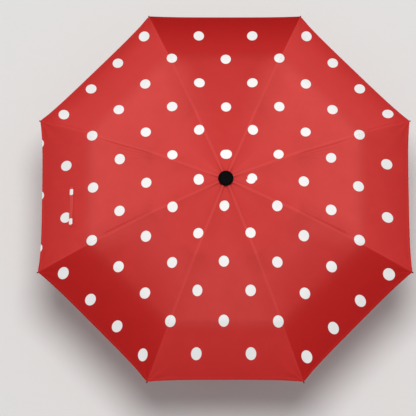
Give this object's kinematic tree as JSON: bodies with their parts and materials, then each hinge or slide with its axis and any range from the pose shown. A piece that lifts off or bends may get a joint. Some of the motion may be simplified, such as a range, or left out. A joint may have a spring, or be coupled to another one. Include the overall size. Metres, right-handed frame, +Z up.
{
  "type": "umbrella",
  "caption": "Open compact folding umbrella with a spotted octagonal cloth canopy on jointed ribs, a telescoping shaft, sliding runner and straight handle",
  "frame": {"origin": "on the shaft's axis at the lower end of the handle, where the hand-held grip starts", "axes": "+Z up the shaft towards the cap, -X towards the panel that carries the tie strap, one pair of canopy flats square to X and one to Y"},
  "size_m": [0.8356, 0.8356, 0.5054],
  "materials": {
    "grip": "moulded black plastic, fine matt texture",
    "moulding": "moulded black nylon",
    "cap": "moulded black plastic, satin",
    "catch": "moulded dark plastic",
    "tube": "plated thin-wall steel tube",
    "rib": "black lacquered steel channel",
    "rod": "black sprung rod",
    "cloth": "red polyester pongee printed with white dots"
  },
  "bodies": {
    "handle": {"handle_grip": "grip", "handle_end": "grip", "lower_tube": "tube"},
    "middle_tube": {"middle_tube": "tube"},
    "upper_tube": {"upper_tube": "tube", "crown": "moulding", "top_cap": "cap", "tie_strap": "cloth", "canopy_panel_1": "cloth", "canopy_panel_2": "cloth", "canopy_panel_3": "cloth", "canopy_panel_4": "cloth", "canopy_panel_5": "cloth", "canopy_panel_6": "cloth", "canopy_panel_7": "cloth", "canopy_panel_8": "cloth"},
    "runner": {"runner": "moulding"},
    "runner_catch": {"runner_catch": "catch"},
    "inner_rib_1": {"inner_rib_1": "rib"},
    "middle_rib_1": {"middle_rib_1": "rib"},
    "outer_rib_1": {"outer_rib_1": "rod", "rib_tip_1": "cap"},
    "stretcher_1": {"stretcher_1": "rib"},
    "inner_rib_2": {"inner_rib_2": "rib"},
    "middle_rib_2": {"middle_rib_2": "rib"},
    "outer_rib_2": {"outer_rib_2": "rod", "rib_tip_2": "cap"},
    "stretcher_2": {"stretcher_2": "rib"},
    "inner_rib_3": {"inner_rib_3": "rib"},
    "middle_rib_3": {"middle_rib_3": "rib"},
    "outer_rib_3": {"outer_rib_3": "rod", "rib_tip_3": "cap"},
    "stretcher_3": {"stretcher_3": "rib"},
    "inner_rib_4": {"inner_rib_4": "rib"},
    "middle_rib_4": {"middle_rib_4": "rib"},
    "outer_rib_4": {"outer_rib_4": "rod", "rib_tip_4": "cap"},
    "stretcher_4": {"stretcher_4": "rib"},
    "inner_rib_5": {"inner_rib_5": "rib"},
    "middle_rib_5": {"middle_rib_5": "rib"},
    "outer_rib_5": {"outer_rib_5": "rod", "rib_tip_5": "cap"},
    "stretcher_5": {"stretcher_5": "rib"},
    "inner_rib_6": {"inner_rib_6": "rib"},
    "middle_rib_6": {"middle_rib_6": "rib"},
    "outer_rib_6": {"outer_rib_6": "rod", "rib_tip_6": "cap"},
    "stretcher_6": {"stretcher_6": "rib"},
    "inner_rib_7": {"inner_rib_7": "rib"},
    "middle_rib_7": {"middle_rib_7": "rib"},
    "outer_rib_7": {"outer_rib_7": "rod", "rib_tip_7": "cap"},
    "stretcher_7": {"stretcher_7": "rib"},
    "inner_rib_8": {"inner_rib_8": "rib"},
    "middle_rib_8": {"middle_rib_8": "rib"},
    "outer_rib_8": {"outer_rib_8": "rod", "rib_tip_8": "cap"},
    "stretcher_8": {"stretcher_8": "rib"}
  },
  "joints": [
    {"name": "middle_tube_slide", "type": "slide", "parent": "handle", "child": "middle_tube", "axis": [0, 0, 1], "range_m": [-0.135, 0]},
    {"name": "upper_tube_slide", "type": "slide", "parent": "middle_tube", "child": "upper_tube", "axis": [0, 0, 1], "range_m": [-0.117, 0]},
    {"name": "runner_slide", "type": "slide", "parent": "upper_tube", "child": "runner", "axis": [0, 0, 1], "range_m": [-0.1027, 0], "deforming": ["canopy_panel_1", "canopy_panel_2", "canopy_panel_3", "canopy_panel_4", "canopy_panel_5", "canopy_panel_6", "canopy_panel_7", "canopy_panel_8", "tie_strap"]},
    {"name": "runner_catch_press", "type": "slide", "parent": "runner", "child": "runner_catch", "axis": [-1, 0, 0], "range_m": [0, 0.001], "stiffness_N_per_m": 300},
    {"name": "inner_fold_1", "type": "hinge", "parent": "upper_tube", "child": "inner_rib_1", "pos_m": [0.01201, 0.00498, 0.492], "axis": [0.3827, -0.9239, 0], "range_deg": [-77.11, 0]},
    {"name": "middle_fold_1", "type": "hinge", "parent": "inner_rib_1", "child": "middle_rib_1", "pos_m": [0.15776, 0.06535, 0.4579], "axis": [0.3827, -0.9239, 0], "range_deg": [0, 192.58]},
    {"name": "outer_fold_1", "type": "hinge", "parent": "middle_rib_1", "child": "outer_rib_1", "pos_m": [0.2901, 0.12016, 0.38526], "axis": [0.3827, -0.9239, 0], "range_deg": [-171.21, 0]},
    {"name": "stretcher_fold_1", "type": "hinge", "parent": "inner_rib_1", "child": "stretcher_1", "pos_m": [0.08205, 0.03399, 0.4736], "axis": [0.3827, -0.9239, 0], "range_deg": [0, 135.7]},
    {"name": "inner_fold_2", "type": "hinge", "parent": "upper_tube", "child": "inner_rib_2", "pos_m": [0.00498, 0.01201, 0.492], "axis": [0.9239, -0.3827, 0], "range_deg": [-77.11, 0]},
    {"name": "middle_fold_2", "type": "hinge", "parent": "inner_rib_2", "child": "middle_rib_2", "pos_m": [0.06535, 0.15776, 0.4579], "axis": [0.9239, -0.3827, 0], "range_deg": [0, 192.58]},
    {"name": "outer_fold_2", "type": "hinge", "parent": "middle_rib_2", "child": "outer_rib_2", "pos_m": [0.12016, 0.2901, 0.38526], "axis": [0.9239, -0.3827, 0], "range_deg": [-171.21, 0]},
    {"name": "stretcher_fold_2", "type": "hinge", "parent": "inner_rib_2", "child": "stretcher_2", "pos_m": [0.03399, 0.08205, 0.4736], "axis": [0.9239, -0.3827, 0], "range_deg": [0, 135.7]},
    {"name": "inner_fold_3", "type": "hinge", "parent": "upper_tube", "child": "inner_rib_3", "pos_m": [-0.00498, 0.01201, 0.492], "axis": [0.9239, 0.3827, 0], "range_deg": [-77.11, 0]},
    {"name": "middle_fold_3", "type": "hinge", "parent": "inner_rib_3", "child": "middle_rib_3", "pos_m": [-0.06535, 0.15776, 0.4579], "axis": [0.9239, 0.3827, 0], "range_deg": [0, 192.58]},
    {"name": "outer_fold_3", "type": "hinge", "parent": "middle_rib_3", "child": "outer_rib_3", "pos_m": [-0.12016, 0.2901, 0.38526], "axis": [0.9239, 0.3827, 0], "range_deg": [-171.21, 0]},
    {"name": "stretcher_fold_3", "type": "hinge", "parent": "inner_rib_3", "child": "stretcher_3", "pos_m": [-0.03399, 0.08205, 0.4736], "axis": [0.9239, 0.3827, 0], "range_deg": [0, 135.7]},
    {"name": "inner_fold_4", "type": "hinge", "parent": "upper_tube", "child": "inner_rib_4", "pos_m": [-0.01201, 0.00498, 0.492], "axis": [0.3827, 0.9239, 0], "range_deg": [-77.11, 0]},
    {"name": "middle_fold_4", "type": "hinge", "parent": "inner_rib_4", "child": "middle_rib_4", "pos_m": [-0.15776, 0.06535, 0.4579], "axis": [0.3827, 0.9239, 0], "range_deg": [0, 192.58]},
    {"name": "outer_fold_4", "type": "hinge", "parent": "middle_rib_4", "child": "outer_rib_4", "pos_m": [-0.2901, 0.12016, 0.38526], "axis": [0.3827, 0.9239, 0], "range_deg": [-171.21, 0]},
    {"name": "stretcher_fold_4", "type": "hinge", "parent": "inner_rib_4", "child": "stretcher_4", "pos_m": [-0.08205, 0.03399, 0.4736], "axis": [0.3827, 0.9239, 0], "range_deg": [0, 135.7]},
    {"name": "inner_fold_5", "type": "hinge", "parent": "upper_tube", "child": "inner_rib_5", "pos_m": [-0.01201, -0.00498, 0.492], "axis": [-0.3827, 0.9239, 0], "range_deg": [-77.11, 0]},
    {"name": "middle_fold_5", "type": "hinge", "parent": "inner_rib_5", "child": "middle_rib_5", "pos_m": [-0.15776, -0.06535, 0.4579], "axis": [-0.3827, 0.9239, 0], "range_deg": [0, 192.58]},
    {"name": "outer_fold_5", "type": "hinge", "parent": "middle_rib_5", "child": "outer_rib_5", "pos_m": [-0.2901, -0.12016, 0.38526], "axis": [-0.3827, 0.9239, 0], "range_deg": [-171.21, 0]},
    {"name": "stretcher_fold_5", "type": "hinge", "parent": "inner_rib_5", "child": "stretcher_5", "pos_m": [-0.08205, -0.03399, 0.4736], "axis": [-0.3827, 0.9239, 0], "range_deg": [0, 135.7]},
    {"name": "inner_fold_6", "type": "hinge", "parent": "upper_tube", "child": "inner_rib_6", "pos_m": [-0.00498, -0.01201, 0.492], "axis": [-0.9239, 0.3827, 0], "range_deg": [-77.11, 0]},
    {"name": "middle_fold_6", "type": "hinge", "parent": "inner_rib_6", "child": "middle_rib_6", "pos_m": [-0.06535, -0.15776, 0.4579], "axis": [-0.9239, 0.3827, 0], "range_deg": [0, 192.58]},
    {"name": "outer_fold_6", "type": "hinge", "parent": "middle_rib_6", "child": "outer_rib_6", "pos_m": [-0.12016, -0.2901, 0.38526], "axis": [-0.9239, 0.3827, 0], "range_deg": [-171.21, 0]},
    {"name": "stretcher_fold_6", "type": "hinge", "parent": "inner_rib_6", "child": "stretcher_6", "pos_m": [-0.03399, -0.08205, 0.4736], "axis": [-0.9239, 0.3827, 0], "range_deg": [0, 135.7]},
    {"name": "inner_fold_7", "type": "hinge", "parent": "upper_tube", "child": "inner_rib_7", "pos_m": [0.00498, -0.01201, 0.492], "axis": [-0.9239, -0.3827, 0], "range_deg": [-77.11, 0]},
    {"name": "middle_fold_7", "type": "hinge", "parent": "inner_rib_7", "child": "middle_rib_7", "pos_m": [0.06535, -0.15776, 0.4579], "axis": [-0.9239, -0.3827, 0], "range_deg": [0, 192.58]},
    {"name": "outer_fold_7", "type": "hinge", "parent": "middle_rib_7", "child": "outer_rib_7", "pos_m": [0.12016, -0.2901, 0.38526], "axis": [-0.9239, -0.3827, 0], "range_deg": [-171.21, 0]},
    {"name": "stretcher_fold_7", "type": "hinge", "parent": "inner_rib_7", "child": "stretcher_7", "pos_m": [0.03399, -0.08205, 0.4736], "axis": [-0.9239, -0.3827, 0], "range_deg": [0, 135.7]},
    {"name": "inner_fold_8", "type": "hinge", "parent": "upper_tube", "child": "inner_rib_8", "pos_m": [0.01201, -0.00498, 0.492], "axis": [-0.3827, -0.9239, 0], "range_deg": [-77.11, 0]},
    {"name": "middle_fold_8", "type": "hinge", "parent": "inner_rib_8", "child": "middle_rib_8", "pos_m": [0.15776, -0.06535, 0.4579], "axis": [-0.3827, -0.9239, 0], "range_deg": [0, 192.58]},
    {"name": "outer_fold_8", "type": "hinge", "parent": "middle_rib_8", "child": "outer_rib_8", "pos_m": [0.2901, -0.12016, 0.38526], "axis": [-0.3827, -0.9239, 0], "range_deg": [-171.21, 0]},
    {"name": "stretcher_fold_8", "type": "hinge", "parent": "inner_rib_8", "child": "stretcher_8", "pos_m": [0.08205, -0.03399, 0.4736], "axis": [-0.3827, -0.9239, 0], "range_deg": [0, 135.7]}
  ],
  "couplings": [
    {"joint": "inner_fold_1", "follows": "runner_slide", "rad_per_m": 13.102},
    {"joint": "middle_fold_1", "follows": "runner_slide", "rad_per_m": -32.724},
    {"joint": "outer_fold_1", "follows": "runner_slide", "rad_per_m": 29.093},
    {"joint": "stretcher_fold_1", "follows": "runner_slide", "rad_per_m": -23.058},
    {"joint": "inner_fold_2", "follows": "runner_slide", "rad_per_m": 13.102},
    {"joint": "middle_fold_2", "follows": "runner_slide", "rad_per_m": -32.724},
    {"joint": "outer_fold_2", "follows": "runner_slide", "rad_per_m": 29.093},
    {"joint": "stretcher_fold_2", "follows": "runner_slide", "rad_per_m": -23.058},
    {"joint": "inner_fold_3", "follows": "runner_slide", "rad_per_m": 13.102},
    {"joint": "middle_fold_3", "follows": "runner_slide", "rad_per_m": -32.724},
    {"joint": "outer_fold_3", "follows": "runner_slide", "rad_per_m": 29.093},
    {"joint": "stretcher_fold_3", "follows": "runner_slide", "rad_per_m": -23.058},
    {"joint": "inner_fold_4", "follows": "runner_slide", "rad_per_m": 13.102},
    {"joint": "middle_fold_4", "follows": "runner_slide", "rad_per_m": -32.724},
    {"joint": "outer_fold_4", "follows": "runner_slide", "rad_per_m": 29.093},
    {"joint": "stretcher_fold_4", "follows": "runner_slide", "rad_per_m": -23.058},
    {"joint": "inner_fold_5", "follows": "runner_slide", "rad_per_m": 13.102},
    {"joint": "middle_fold_5", "follows": "runner_slide", "rad_per_m": -32.724},
    {"joint": "outer_fold_5", "follows": "runner_slide", "rad_per_m": 29.093},
    {"joint": "stretcher_fold_5", "follows": "runner_slide", "rad_per_m": -23.058},
    {"joint": "inner_fold_6", "follows": "runner_slide", "rad_per_m": 13.102},
    {"joint": "middle_fold_6", "follows": "runner_slide", "rad_per_m": -32.724},
    {"joint": "outer_fold_6", "follows": "runner_slide", "rad_per_m": 29.093},
    {"joint": "stretcher_fold_6", "follows": "runner_slide", "rad_per_m": -23.058},
    {"joint": "inner_fold_7", "follows": "runner_slide", "rad_per_m": 13.102},
    {"joint": "middle_fold_7", "follows": "runner_slide", "rad_per_m": -32.724},
    {"joint": "outer_fold_7", "follows": "runner_slide", "rad_per_m": 29.093},
    {"joint": "stretcher_fold_7", "follows": "runner_slide", "rad_per_m": -23.058},
    {"joint": "inner_fold_8", "follows": "runner_slide", "rad_per_m": 13.102},
    {"joint": "middle_fold_8", "follows": "runner_slide", "rad_per_m": -32.724},
    {"joint": "outer_fold_8", "follows": "runner_slide", "rad_per_m": 29.093},
    {"joint": "stretcher_fold_8", "follows": "runner_slide", "rad_per_m": -23.058}
  ]
}
